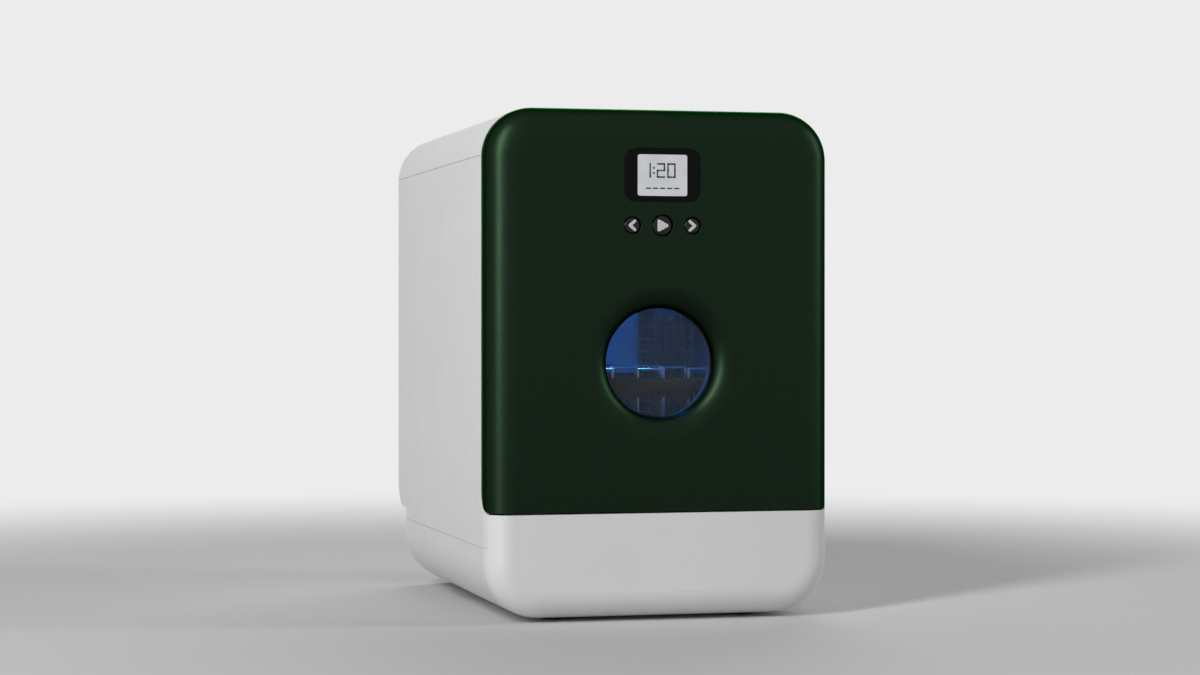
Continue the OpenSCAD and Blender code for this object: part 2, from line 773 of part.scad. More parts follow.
// An inverted U of wire that stands on the rack's floor
module hoop(x0, x1, y, z1) {
    for (x = [x0, x1]) {
        rod_z(x, y, rack_floor, z1 - wire_r, wire_r);
        translate([x, y, z1 - wire_r]) sphere(wire_r, $fn = 32);
    }
    rod_x(x0, x1, y, z1 - wire_r, wire_r);
}
module rack_hoops() {
    top = rim_z + hoop_rise;
    color(steel) for (row = [0, 1, 2], x = [-4 : 2 : 2]) {
        y = rack_y0 + 10.5 + bar / 2 + (1 + row * 4) * arch_pitch - 1.5;
        hoop(x * arch_pitch, (x + 1) * arch_pitch, y, top);
    }
}
module basket_wall_face(length, columns, rows) {
    gap = 3;
    cw = (length - 8 - (columns - 1) * gap) / columns;
    ch = (basket_h - 20 - (rows - 1) * gap) / rows;
    difference() {
        square([length, basket_h]);
        for (c = [0 : columns - 1], r = [0 : rows - 1])
            translate([4 + c * (cw + gap), 12 + r * (ch + gap)]) square([cw, ch]);
    }
}
module cutlery_basket() {
    x0 = rim_in - basket_w - 2;
    y0 = rack_y1 - 14 - basket_d;
    z = rack_floor + fit;
    color(grey) union() {
        for (y = [y0 + basket_wall, y0 + basket_d]) translate([x0, y, z]) rotate([90, 0, 0])
            linear_extrude(basket_wall) basket_wall_face(basket_w, 4, 9);
        for (x = [x0, x0 + basket_w - basket_wall]) translate([x, y0, z]) rotate([90, 0, 90])
            linear_extrude(basket_wall) basket_wall_face(basket_d, 6, 9);
        box(x0, x0 + basket_w, y0, y0 + basket_d, z, z + basket_wall);
        box(x0, x0 + basket_w, y0 + basket_d / 2 - 1, y0 + basket_d / 2 + 1, z, z + basket_h * 0.9);
    }
}

module sump() {
    x = sump_at[0];
    y = sump_at[1];
    color(grey) difference() {
        union() {
            rod_z(x, y, sump_low, under_tub, sump_r);
            rod_z(x, y, under_tub - 3.5, under_tub, sump_r + 6);
        }
        rod_z(x, y, sump_low + 3, under_tub + eps, sump_r - 3);
        rod_x(x - sump_r - eps, x - sump_r + 4, y, pump_z, 9);
        rod_y(x, y + sump_r - 5, y + sump_r + eps, fill_z, pipe_r - pipe_wall);
        rod_y(drain_pump_x, y - sump_r - eps, y - sump_r + 6, drain_z, 5);
    }
}
module filter_cup() {
    x = sump_at[0];
    y = sump_at[1];
    z = tub_floor + fit;
    color(steel) difference() {
        union() {
            rod_z(x, y, sump_low + 30, z, sump_r - 6);
            rod_z(x, y, z, z + 2.5, sump_r + 2);
        }
        rod_z(x, y, sump_low + 31.5, z + 3, sump_r - 7.5);
    }
    color(grey) {
        for (a = [0, 90]) translate([x, y, z + 2.5]) rotate([0, 0, a])
            translate([-sump_r - 1, -2, 0]) cube([2 * sump_r + 2, 4, 4]);
    }
}
module spray_spindle() {
    color(grey) difference() {
        union() {
            rod_z(0, spray_y, tee_z + pipe_r + 2, tub_floor + 24, spindle_r);
            rod_z(0, spray_y, tub_floor, tub_floor + 9.7, spindle_r + 6);
        }
        rod_z(0, spray_y, tee_z, tub_floor + 20, spindle_r - 2.5);
    }
}
// A long arm with round ends, a hub with a bore, and spray holes along its top or underside
module spray_arm(reach, hub, bore, z0, z1, holes) {
    difference() {
        union() {
            rod_z(0, spray_y, z0, z1, hub);
            for (a = [0, 180]) translate([0, spray_y, 0]) rotate([0, 0, a]) along_z(z0 + 2, z1 - 1) {
                polygon([[0, -hub * 0.8], [reach - 9, -9], [reach - 9, 9], [0, hub * 0.8]]);
                translate([reach - 9, 0]) circle(9);
            }
        }
        rod_z(0, spray_y, z0 - eps, z1 + eps, bore);
        for (a = [0, 180], i = [1 : holes]) translate([0, spray_y, 0]) rotate([0, 0, a])
            rod_z(hub + i * (reach - hub - 8) / holes, (i % 2 - 0.5) * 6, z0 - eps, z1 + eps, 1.2);
    }
}
module lower_spray_arm() {
    color(grey) spray_arm(lower_arm, 17, spindle_r + running, tub_floor + 10, tub_floor + 24, 6);
}
module spindle_nut() {
    z = tub_floor + 24 + fit;
    color(black) {
        rod_z(0, spray_y, tub_floor + 24, z, spindle_r - 1);
        rod_z(0, spray_y, z, z + 6, spindle_r + 4);
    }
}
module upper_spindle() {
    color(grey) {
        rod_z(0, spray_y, tub_top - 17, roof, spindle_r - 1);
        rod_z(0, spray_y, tub_top - 4, tub_top, spindle_r + 4);
        rod_z(0, spray_y, tub_top - 20, tub_top - 17, spindle_r + 3);
    }
}
module upper_spray_arm() {
    color(grey) spray_arm(upper_arm, 13, spindle_r - 1 + running, tub_top - 16.7, tub_top - 4.3, 5);
}
module supply_tee() {
    color(grey) {
        difference() {
            union() {
                rod_z(heater_x, spray_y, heater_z + heater_r, tee_z, pipe_r);
                translate([heater_x, spray_y, tee_z]) sphere(pipe_r);
                rod_x(heater_x, 0, spray_y, tee_z, pipe_r);
                rod_z(0, spray_y, tee_z - pipe_r - 2, tee_z + pipe_r + 2, pipe_r + 4);
            }
            rod_z(0, spray_y, tee_z - pipe_r, tee_z + pipe_r + 3, spindle_r - 2.5);
        }
    }
}
module riser_run(r) {
    rod_y(0, spray_y + 12, riser_y - bend_r, tee_z, r);
    translate([0, riser_y - bend_r, tee_z + bend_r]) rotate([0, 90, 0])
        rotate_extrude(angle = 90) translate([bend_r, 0]) circle(r);
    rod_z(0, riser_y, tee_z + bend_r, riser_top - bend_r, r);
    translate([0, riser_y - bend_r, riser_top - bend_r]) rotate([0, 90, 0]) rotate([0, 0, 90])
        rotate_extrude(angle = 90) translate([bend_r, 0]) circle(r);
    rod_y(0, spray_y + 10, riser_y - bend_r, riser_top, r);
}
module spray_riser() {
    color("lightgray") union() {
        riser_run(pipe_r);
        rod_z(0, spray_y, roof, riser_top + pipe_r, pipe_r + 4);
    }
}
module circulation_pump() {
    y = sump_at[1];
    x1 = pump_x;
    x0 = pump_x - 36;
    color(grey) difference() {
        union() {
            rod_x(x0, x1, y, pump_z, volute_r);
            rod_x(x1, sump_at[0] - sump_r, y, pump_z, 12);
            rod_x(x0 - motor_l, x0, y, pump_z, volute_r - 6);
            rod_y(heater_x, y - volute_r - 8, y - volute_r + 6, heater_z, 10);
            for (x = [x0 - motor_l + 8, x0 - 20]) box(x, x + 12, y - 16, y + 16, floor_in, pump_z - 10);
        }
        rod_x(x0 + 4, x1 - 4, y, pump_z, volute_r - 3);
        rod_x(x1 - 5, sump_at[0], y, pump_z, 9);
        rod_x(x0 - 40, x0 + 5, y, pump_z, 4 + running);
        rod_y(heater_x, y - volute_r - 9, y - volute_r + 8, heater_z, 7);
    }
}
// A shaft with a round back plate and curved blades
module impeller(r, width, blades) {
    cylinder(r = r, h = 2);
    cylinder(r = 7, h = width);
    for (i = [0 : blades - 1]) rotate([0, 0, 20 + i * 360 / blades])
        translate([5, -0.8, 1]) cube([r - 7, 1.6, width - 3]);
}
module pump_impeller() {
    x0 = pump_x - 36;
    color(black) translate([x0 + 4.5, sump_at[1], pump_z]) rotate([0, 90, 0]) {
        impeller(volute_r - 5, 22, 6);
        translate([0, 0, -42]) cylinder(r = 4, h = 43);
    }
}
module flow_heater() {
    y1 = sump_at[1] - volute_r - 8;
    color(steel) difference() {
        union() {
            rod_y(heater_x, y1 - 110, y1, heater_z, heater_r);
            for (y = [y1 - 100, y1 - 22]) box(heater_x - 6, heater_x + 6, y, y + 8, floor_in, heater_z - 6);
        }
        rod_y(heater_x, y1 - 108, y1 + eps, heater_z, heater_r - 3);
        rod_z(heater_x, spray_y, heater_z, heater_z + heater_r + eps, pipe_r - pipe_wall);
    }
    color(grey) for (x = [-6, 6]) rod_y(heater_x + x, y1 - 118, y1 - 110, heater_z, 2);
}
module drain_pump() {
    x = drain_pump_x;
    y = drain_y;
    color(grey) difference() {
        union() {
            rod_y(x, y - 14, y + 14, drain_z, drain_r);
            rod_y(x, y - 60, y - 14, drain_z, drain_r - 4);
            rod_x(x, drain_x - bend_r, y, drain_z, pipe_r);
            for (foot_y = [y - 50, y]) box(x - 12, x + 12, foot_y, foot_y + 8, floor_in, drain_z - 8);
        }
        rod_y(x, y - 11, y + 12, drain_z, drain_r - 2.5);
        rod_y(x, y - 34, y - 10, drain_z, 3 + running);
        rod_y(x, y + 11, y + 14 + eps, drain_z, 5);
        rod_x(x + 14, drain_x - bend_r + eps, y, drain_z, pipe_r - pipe_wall);
    }
}
module drain_impeller() {
    color(black) translate([drain_pump_x, drain_y - 10, drain_z]) rotate([-90, 0, 0]) {
        impeller(drain_r - 5, 14, 4);
        translate([0, 0, -22]) cylinder(r = 3, h = 23);
    }
}
module drain_hose() {
    color(black) {
        union() {
            translate([drain_x - bend_r, drain_y + bend_r, drain_z]) rotate([0, 0, -90])
                rotate_extrude(angle = 90) translate([bend_r, 0]) circle(pipe_r);
            rod_y(drain_x, drain_y + bend_r, base_rear - 18, drain_z, pipe_r);
        }
        // the short hose from the sump into the pump
        difference() {
            rod_y(drain_pump_x, drain_y + 14, sump_at[1], drain_z, 7);
            rod_y(drain_pump_x, drain_y + 13, sump_at[1], drain_z, 5);
            rod_z(sump_at[0], sump_at[1], 0, under_tub, sump_r);
        }
    }
}
module drain_outlet() {
    color(grey) difference() {
        union() {
            rod_y(drain_x, base_rear, base_rear + spigot_l, drain_z, drain_pipe_r);
            rod_y(drain_x, base_rear - 18, base_rear, drain_z, pipe_r);
            rod_y(drain_x, base_rear - wall - 3, base_rear - wall, drain_z, drain_pipe_r + 5);
        }
        rod_y(drain_x, base_rear - 12, base_rear + spigot_l + eps, drain_z, drain_pipe_r - 2.5);
    }
}
module inlet_valve() {
    color(grey) difference() {
        union() {
            rod_y(inlet_x, base_rear, base_rear + spigot_l, inlet_z, inlet_r);
            rod_y(inlet_x, base_rear - wall - eps, base_rear + eps, inlet_z, inlet_r - 1);
            box(inlet_x - 20, inlet_x + 20, base_rear - 40, base_rear - wall, inlet_z - 17, inlet_z + 21);
            rod_z(inlet_x, base_rear - 20, inlet_z + 21, inlet_z + 39, 12);
        }
        rod_y(inlet_x, base_rear - 6, base_rear + spigot_l + eps, inlet_z, inlet_r - 3.5);
    }
}
module fill_hose() {
    x = sump_at[0];
    y = sump_at[1] + sump_r;
    color("whitesmoke") union() {
        rod_z(x, fill_y, fill_z + bend_r, tank_z, pipe_r);
        translate([x, fill_y - bend_r, fill_z + bend_r]) rotate([0, 90, 0])
            rotate_extrude(angle = 90) translate([bend_r, 0]) circle(pipe_r);
        rod_y(x, y, fill_y - bend_r, fill_z, pipe_r);
    }
}
module water_tank() {
    z1 = tank_z + tank_h;
    color("aliceblue") {
        difference() {
            box(tank_x0, tank_x1, tank_y0, tank_y1, tank_z, z1);
            box(tank_x0 + tank_wall, tank_x1 - tank_wall, tank_y0 + tank_wall, tank_y1 - tank_wall,
                tank_z + tank_wall, z1 - tank_wall);
            rod_z(flap_at[0], flap_at[1], z1 - tank_wall - eps, z1 + eps, filler_r + 2);
        }
        for (x = [tank_x0 + 16, tank_x1 - 30], y = [tank_y0 + 20, 120]) rod_z(x, y, roof, tank_z, 8);
    }
}
module filler_funnel() {
    z1 = pad_z;
    color(grey) translate([flap_at[0], flap_at[1], 0]) rotate_extrude() polygon([
        [filler_r, z1], [filler_r + 5, z1], [filler_r + 5, z1 - 2], [filler_r + 1.6, z1 - 2],
        [filler_r - 5, z1 - 24], [filler_r - 7, z1 - 24], [filler_r, z1 - 3]]);
}
module filler_flap() {
    x0 = flap_at[0] - flap_w / 2;
    x1 = flap_at[0] + flap_w / 2;
    y1 = flap_at[1] + flap_d / 2 - flap_t / 2;
    color(white) difference() {
        union() {
            box(x0, x1, flap_at[1] - flap_d / 2, y1, body_h - flap_t, body_h);
            rod_x(x0, x1, y1, body_h - flap_t / 2, flap_t / 2);
            flap_pins(0, 2);
        }
        // finger notch at the front edge
        rod_z(flap_at[0], flap_at[1] - flap_d / 2, body_h - flap_t - eps, body_h + eps, 9);
    }
}
module air_duct() {
    z0 = fan_z - 16;
    color(grey) difference() {
        union() {
            rod_z(fan_x, duct_y, roof, z0, 16);
            box(fan_x - 20, fan_x + 20, duct_y - 20, fan_y, z0, fan_z + 16);
        }
        rod_z(fan_x, duct_y, roof - eps, z0 + 3, 12);
        box(fan_x - 18, fan_x + 18, duct_y - 18, fan_y + eps, z0 + 2, fan_z + 14);
    }
}
module fan_housing() {
    y1 = rear - wall;
    color(black) difference() {
        rod_y(fan_x, fan_y, y1, fan_z, 31);
        rod_y(fan_x, fan_y + 3, y1 + eps, fan_z, 28.5);
        for (a = [45 : 90 : 315]) rod_y(fan_x + 13 * cos(a), fan_y - eps, fan_y + 4, fan_z + 13 * sin(a), 4.5);
        rod_y(fan_x, fan_y - eps, fan_y + 4, fan_z, 2.5 + running);
    }
}
module fan_rotor() {
    color(grey) translate([fan_x, fan_y + 6, fan_z]) rotate([-90, 0, 0]) {
        impeller(26, 20, 9);
        translate([0, 0, -6]) cylinder(r = 2.5, h = 7);
    }
}
module power_inlet() {
    color(black) difference() {
        union() {
            box(power_x - 14, power_x + 14, base_rear - 24, base_rear, power_z - 10, power_z + 10);
            box(power_x - 25, power_x + 25, base_rear, base_rear + 2.5, power_z - 15, power_z + 15);
        }
        box(power_x - 12, power_x + 12, base_rear - 18, base_rear + 3, power_z - 8, power_z + 8);
    }
    color(steel) for (i = [-1 : 1])
        box(power_x + i * 7 - 1, power_x + i * 7 + 1, base_rear - 18, base_rear - 4, power_z - 2, power_z + 2);
}
module power_board() {
    z = floor_in + 6;
    x = power_x - 16;
    y = front + 55;
    color("darkolivegreen") box(x, x + board_w, y, y + board_l, z, z + board_t);
    color(grey) {
        for (px = [x + 6, x + board_w - 6], py = [y + 6, y + board_l - 6]) rod_z(px, py, floor_in, z, 3);
        box(x + 8, x + 36, y + 10, y + 50, z + board_t, z + 28);
        for (i = [0 : 2]) box(x + 46, x + 62, y + 10 + i * 30, y + 30 + i * 30, z + board_t, z + 16);
        rod_z(x + 22, y + 90, z + board_t, z + 24, 10);
    }
}

base_tray();
left_side_panel();
right_side_panel();
top_cover();
rear_cover();
front_frame();
feet();
housing_screws();
door_outer();
door_liner();
outer_glass();
inner_glass();
window_ring();
screen_lens();
display_module();
control_board();
button_switches();
button_back();
button_start();
button_next();
hinge_arms();
hinge_brackets();
hinge_pins();
door_gasket();
door_striker();
latch_catch();
switch_housing();
switch_plunger();
tub();
tub_lamp();
rack_rails();
rack_frame();
rack_hoops();
cutlery_basket();
sump();
filter_cup();
spray_spindle();
lower_spray_arm();
spindle_nut();
upper_spindle();
upper_spray_arm();
supply_tee();
spray_riser();
circulation_pump();
pump_impeller();
flow_heater();
drain_pump();
drain_impeller();
drain_hose();
drain_outlet();
inlet_valve();
fill_hose();
water_tank();
filler_funnel();
filler_flap();
air_duct();
fan_housing();
fan_rotor();
power_inlet();
power_board();
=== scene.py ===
import json
from math import acos, cos, degrees, pi, radians, sin, sqrt

import bmesh
import bpy
from mathutils import Matrix, Vector


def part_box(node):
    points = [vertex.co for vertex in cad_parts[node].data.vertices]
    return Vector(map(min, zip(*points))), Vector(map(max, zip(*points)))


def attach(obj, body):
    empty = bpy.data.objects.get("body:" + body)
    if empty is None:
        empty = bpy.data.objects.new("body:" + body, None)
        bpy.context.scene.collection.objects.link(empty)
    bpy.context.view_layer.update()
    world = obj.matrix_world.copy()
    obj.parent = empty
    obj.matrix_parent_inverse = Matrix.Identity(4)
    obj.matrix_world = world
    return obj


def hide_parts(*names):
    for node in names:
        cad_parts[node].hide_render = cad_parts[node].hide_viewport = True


bpy.ops.wm.read_factory_settings(use_empty=True)
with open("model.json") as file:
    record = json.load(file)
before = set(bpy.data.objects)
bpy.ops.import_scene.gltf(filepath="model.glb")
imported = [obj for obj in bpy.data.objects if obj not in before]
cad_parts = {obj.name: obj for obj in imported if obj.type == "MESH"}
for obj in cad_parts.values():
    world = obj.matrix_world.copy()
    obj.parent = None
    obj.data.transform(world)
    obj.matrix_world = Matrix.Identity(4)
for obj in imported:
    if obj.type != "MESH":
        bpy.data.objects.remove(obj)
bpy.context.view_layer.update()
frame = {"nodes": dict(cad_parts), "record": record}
print("frame loaded:", len(frame["nodes"]), "nodes")

# Everything below is worked out in millimetres and turned into metres when a mesh is made
mm = 0.001
mergeDistance = 0.0005
softAngle = 32  # degrees; an edge that turns by more stays sharp


def nodeBox(name):
    low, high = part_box(name)
    return [c / mm for c in low], [c / mm for c in high]


doorLow, doorHigh = nodeBox("door_outer")
frontY, doorRearY = doorLow[1], doorHigh[1]
halfWidth = doorHigh[0]
topZ = doorHigh[2]


# ---- small mesh tools
def quarter(steps):
    # the angles of a quarter turn
    return [pi / 2 * i / steps for i in range(steps + 1)]


def arc(cx, cy, r, start, end, steps):
    # points of an arc in a plane, angles in degrees
    angles = [radians(start + (end - start) * i / steps) for i in range(steps + 1)]
    return [(cx + r * cos(a), cy + r * sin(a)) for a in angles]


def circle(cx, cz, r, steps):
    return arc(cx, cz, r, 0, 360 - 360 / steps, steps - 1)


def centredRect(halfWide, halfHigh, centreZ, r, steps=8):
    # anticlockwise outline with round corners, on both sides of x = 0
    x, low, high = halfWide - r, centreZ - halfHigh + r, centreZ + halfHigh - r
    return (arc(x, high, r, 0, 90, steps) + arc(-x, high, r, 90, 180, steps)
            + arc(-x, low, r, 180, 270, steps) + arc(x, low, r, 270, 360, steps))


def ring(bm, points, y):
    return [bm.verts.new((x, y, z)) for x, z in points]


def bridge(bm, rows, closed=False):
    # quads between rows of vertices
    for a, b in zip(rows, rows[1:]):
        count = len(a)
        for i in range(count if closed else count - 1):
            j = (i + 1) % count
            bm.faces.new((a[i], a[j], b[j], b[i]))


def capEnds(bm, rows):
    bm.faces.new(rows[0])
    bm.faces.new(rows[-1][::-1])


def fillFlat(bm, loops):
    # a flat face bounded by the first loop, with the other loops as holes
    edges = []
    for loop in loops:
        for a, b in zip(loop, loop[1:] + loop[:1]):
            edges.append(bm.edges.get((a, b)) or bm.edges.new((a, b)))
    bmesh.ops.triangle_fill(bm, use_beauty=True, use_dissolve=False, edges=edges)


def lathe(bm, profile, cx, cz, steps):
    # a turned form from radii and depths behind the front
    rows = [ring(bm, circle(cx, cz, r, steps), frontY + deep) for r, deep in profile]
    bridge(bm, rows, closed=True)
    return rows


def makePiece(name, bm, material, body, replaced=(), wall=0):
    # turns a worked mesh into a piece that rides its body; a wall thickens an open skin inwards
    bmesh.ops.remove_doubles(bm, verts=bm.verts, dist=mergeDistance)
    bmesh.ops.recalc_face_normals(bm, faces=bm.faces)
    mesh = bpy.data.meshes.new(name)
    bm.to_mesh(mesh)
    bm.free()
    mesh.transform(Matrix.Scale(mm, 4))
    mesh.materials.append(material)
    piece = bpy.data.objects.new(name, mesh)
    bpy.context.collection.objects.link(piece)
    if wall:
        thicken(piece, wall)
    for polygon in piece.data.polygons:
        polygon.use_smooth = True
    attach(piece, body)
    if replaced:
        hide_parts(*replaced)
    return piece


def thicken(piece, wall):
    modifier = piece.modifiers.new("Solidify", "SOLIDIFY")
    modifier.thickness = wall * mm
    modifier.offset = -1
    modifier.use_even_offset = True
    graph = bpy.context.evaluated_depsgraph_get()
    solid = bpy.data.meshes.new_from_object(piece.evaluated_get(graph))
    piece.modifiers.clear()
    piece.data = solid


def softShade(piece):
    # smooth over gentle turns and sharp at real edges, with the big faces ruling the normals
    bm = bmesh.new()
    bm.from_mesh(piece.data)
    for edge in bm.edges:
        edge.smooth = len(edge.link_faces) == 2 and edge.calc_face_angle(0) < radians(softAngle)
    bm.to_mesh(piece.data)
    bm.free()
    weighted = piece.modifiers.new("Normals", "WEIGHTED_NORMAL")
    weighted.keep_sharp = True


# ---- materials
noiseSpan = (0.3, 0.7)  # nearly all of a noise texture's values lie between these
edgeSamples = 4


class Finish:
    # one material that is built up step by step
    def __init__(self, name, colour, roughness, metallic=0.0, specular=0.5):
        self.material = bpy.data.materials.new(name)
        self.material.use_nodes = True
        self.tree = self.material.node_tree
        self.surface = self.tree.nodes["Principled BSDF"]
        self.surface.inputs["Base Color"].default_value = (*colour, 1)
        self.surface.inputs["Roughness"].default_value = roughness
        self.surface.inputs["Metallic"].default_value = metallic
        self.surface.inputs["Specular IOR Level"].default_value = specular
        self.place = self.tree.nodes.new("ShaderNodeTexCoord").outputs["Object"]
        self.normal = None

    def noise(self, scale, detail, stretch=(1, 1, 1)):
        mapping = self.tree.nodes.new("ShaderNodeMapping")
        mapping.inputs["Scale"].default_value = stretch
        texture = self.tree.nodes.new("ShaderNodeTexNoise")
        texture.inputs["Scale"].default_value = scale
        texture.inputs["Detail"].default_value = detail
        self.tree.links.new(self.place, mapping.inputs["Vector"])
        self.tree.links.new(mapping.outputs["Vector"], texture.inputs["Vector"])
        return texture.outputs["Fac"]

    def cells(self, scale):
        texture = self.tree.nodes.new("ShaderNodeTexVoronoi")
        texture.inputs["Scale"].default_value = scale
        self.tree.links.new(self.place, texture.inputs["Vector"])
        return texture.outputs["Color"]

    def ramp(self, source, stops, target="Base Color"):
        node = self.tree.nodes.new("ShaderNodeValToRGB")
        marks = node.color_ramp.elements
        for mark, (position, colour) in zip((marks[0], marks[1]), (stops[0], stops[-1])):
            mark.position = position
            mark.color = (*colour, 1)
        for position, colour in stops[1:-1]:
            marks.new(position).color = (*colour, 1)
        self.tree.links.new(source, node.inputs["Fac"])
        self.tree.links.new(node.outputs["Color"], self.surface.inputs[target])

    def varyRoughness(self, source, low, high):
        node = self.tree.nodes.new("ShaderNodeMapRange")
        node.inputs["From Min"].default_value, node.inputs["From Max"].default_value = noiseSpan
        node.inputs["To Min"].default_value = low
        node.inputs["To Max"].default_value = high
        self.tree.links.new(source, node.inputs["Value"])
        self.tree.links.new(node.outputs["Result"], self.surface.inputs["Roughness"])

    def softEdges(self, radius):
        # real mouldings have no knife edges
        node = self.tree.nodes.new("ShaderNodeBevel")
        node.samples = edgeSamples
        node.inputs["Radius"].default_value = radius * mm
        self.join(node.outputs["Normal"])

    def bump(self, source, depth, strength):
        node = self.tree.nodes.new("ShaderNodeBump")
        node.inputs["Strength"].default_value = strength
        node.inputs["Distance"].default_value = depth * mm
        self.tree.links.new(source, node.inputs["Height"])
        if self.normal:
            self.tree.links.new(self.normal, node.inputs["Normal"])
        self.join(node.outputs["Normal"])

    def join(self, output):
        self.normal = output
        self.tree.links.new(output, self.surface.inputs["Normal"])


def tinted(low, high):
    # colour stops for a noise texture
    return [(noiseSpan[0], low), (noiseSpan[1], high)]


# One entry per finish, and all but its name and first values may be left out:
#   edge       radius of the softened edges in mm
#   bumps      rows of noise scale, noise detail, depth in mm, strength; bumpGrain stretches them along a direction
#   tint       colour stops, over a noise (tintNoise: scale, detail) or over flakes (tintCells: scale); tintOf is the
#              input they feed, if it isn't the base colour
#   gloss      noise scale, noise detail, least and greatest roughness; glossGrain stretches it
#   values     other inputs of the surface
looks = {
    "white_shell": {
        "name": "whiteShell", "colour": (0.66, 0.66, 0.655), "roughness": 0.42,
        "edge": 0.7,
        "bumps": [(1400, 2, 0.02, 0.35), (9, 2, 0.4, 0.12)],
        "tintNoise": (14, 4), "tint": tinted((0.65, 0.65, 0.645), (0.67, 0.67, 0.665)),
        "gloss": (45, 5, 0.38, 0.47),
    },
    # a dark green metallic lacquer with fine flakes
    "green_front": {
        "name": "greenLacquer", "colour": (0.0105, 0.021, 0.012), "roughness": 0.34, "metallic": 1.0,
        "edge": 0.5,
        "bumps": [(900, 2, 0.012, 0.3)],
        "tintCells": 2600,
        "tint": [(0.0, (0.008, 0.0165, 0.0095)), (0.55, (0.0105, 0.021, 0.012)), (1.0, (0.016, 0.031, 0.018))],
        "gloss": (30, 4, 0.33, 0.37),
        "values": {"Specular Tint": (0.25, 0.42, 0.28, 1)},
    },
    # thin clear glass: what lies behind shows through, with a faint gloss over it
    "glass": {
        "name": "paneGlass", "colour": (0.02, 0.03, 0.035), "roughness": 0.03,
        "gloss": (60, 4, 0.02, 0.05),
        "values": {"Alpha": 0.16, "IOR": 1.45},
    },
    "black_gloss": {
        "name": "blackGlass", "colour": (0.002, 0.002, 0.0025), "roughness": 0.08, "specular": 0.07,
        "edge": 0.3,
        "gloss": (70, 5, 0.06, 0.12),
    },
    "key_gloss": {
        "name": "keyGloss", "colour": (0.003, 0.003, 0.0035), "roughness": 0.08, "specular": 0.28,
        "bumps": [(600, 2, 0.006, 0.2)],
        "gloss": (90, 5, 0.06, 0.11),
    },
    "key_icon": {
        "name": "keyIcon", "colour": (0.52, 0.52, 0.51), "roughness": 0.4,
        "bumps": [(1500, 2, 0.01, 0.2)],
        "gloss": (90, 3, 0.36, 0.46),
    },
    "display": {
        "name": "litDisplay", "colour": (0.05, 0.05, 0.055), "roughness": 0.25,
        "tintNoise": (70, 2), "tint": tinted((0.54, 0.55, 0.56), (0.60, 0.61, 0.62)), "tintOf": "Emission Color",
        "values": {"Emission Strength": 0.79},
    },
    "display_ink": {
        "name": "displayInk", "colour": (0.006, 0.008, 0.05), "roughness": 0.35,
        "gloss": (400, 2, 0.3, 0.4),
    },
    "dark_plastic": {
        "name": "darkPlastic", "colour": (0.045, 0.048, 0.052), "roughness": 0.42,
        "edge": 0.4,
        "bumps": [(1100, 2, 0.008, 0.25)],
        "tintNoise": (40, 4), "tint": tinted((0.040, 0.043, 0.047), (0.056, 0.060, 0.065)),
        "gloss": (60, 4, 0.36, 0.5),
    },
    "rubber": {
        "name": "softRubber", "colour": (0.03, 0.03, 0.032), "roughness": 0.75, "specular": 0.3,
        "edge": 0.4,
        "bumps": [(700, 4, 0.05, 0.5)],
        "tintNoise": (25, 4), "tint": tinted((0.026, 0.026, 0.028), (0.040, 0.040, 0.042)),
    },
    "steel": {
        "name": "plainSteel", "colour": (0.55, 0.55, 0.54), "roughness": 0.28, "metallic": 1.0,
        "edge": 0.3,
        "bumps": [(300, 3, 0.01, 0.5)], "bumpGrain": (1, 14, 14),
        "tintNoise": (60, 4), "tint": tinted((0.50, 0.50, 0.49), (0.60, 0.60, 0.59)),
        "gloss": (120, 4, 0.22, 0.36), "glossGrain": (1, 9, 9),
    },
    "wire": {
        "name": "brightWire", "colour": (0.72, 0.73, 0.75), "roughness": 0.10, "metallic": 1.0,
        "bumps": [(500, 2, 0.006, 0.15)],
        "gloss": (150, 4, 0.06, 0.16),
    },
    "tub_plastic": {
        "name": "tubPlastic", "colour": (0.42, 0.45, 0.48), "roughness": 0.38,
        "edge": 0.8,
        "bumps": [(500, 3, 0.03, 0.3)],
        "tintNoise": (18, 4), "tint": tinted((0.39, 0.42, 0.45), (0.45, 0.48, 0.51)),
        "gloss": (35, 4, 0.32, 0.46),
    },
    "lamp": {
        "name": "blueLamp", "colour": (0.2, 0.4, 0.8), "roughness": 0.3,
        "tintNoise": (80, 2), "tint": tinted((0.01, 0.22, 1.0), (0.01, 0.27, 1.0)), "tintOf": "Emission Color",
        "values": {"Emission Strength": 235.0},
    },
    "tank_plastic": {
        "name": "tankPlastic", "colour": (0.70, 0.74, 0.76), "roughness": 0.3,
        "edge": 0.8,
        "tintNoise": (12, 4), "tint": tinted((0.67, 0.71, 0.73), (0.73, 0.77, 0.79)),
        "gloss": (50, 4, 0.26, 0.38),
        "values": {"Subsurface Weight": 0.15, "Subsurface Scale": 0.005},
    },
    "circuit_board": {
        "name": "circuitBoard", "colour": (0.02, 0.13, 0.06), "roughness": 0.35,
        "bumps": [(300, 3, 0.05, 0.5)],
        "tintCells": 160,
        "tint": [(0.35, (0.015, 0.10, 0.045)), (0.4, (0.03, 0.17, 0.08)), (0.8, (0.02, 0.13, 0.06)),
                 (0.9, (0.35, 0.28, 0.12))],
    },
}
unstretched = (1, 1, 1)


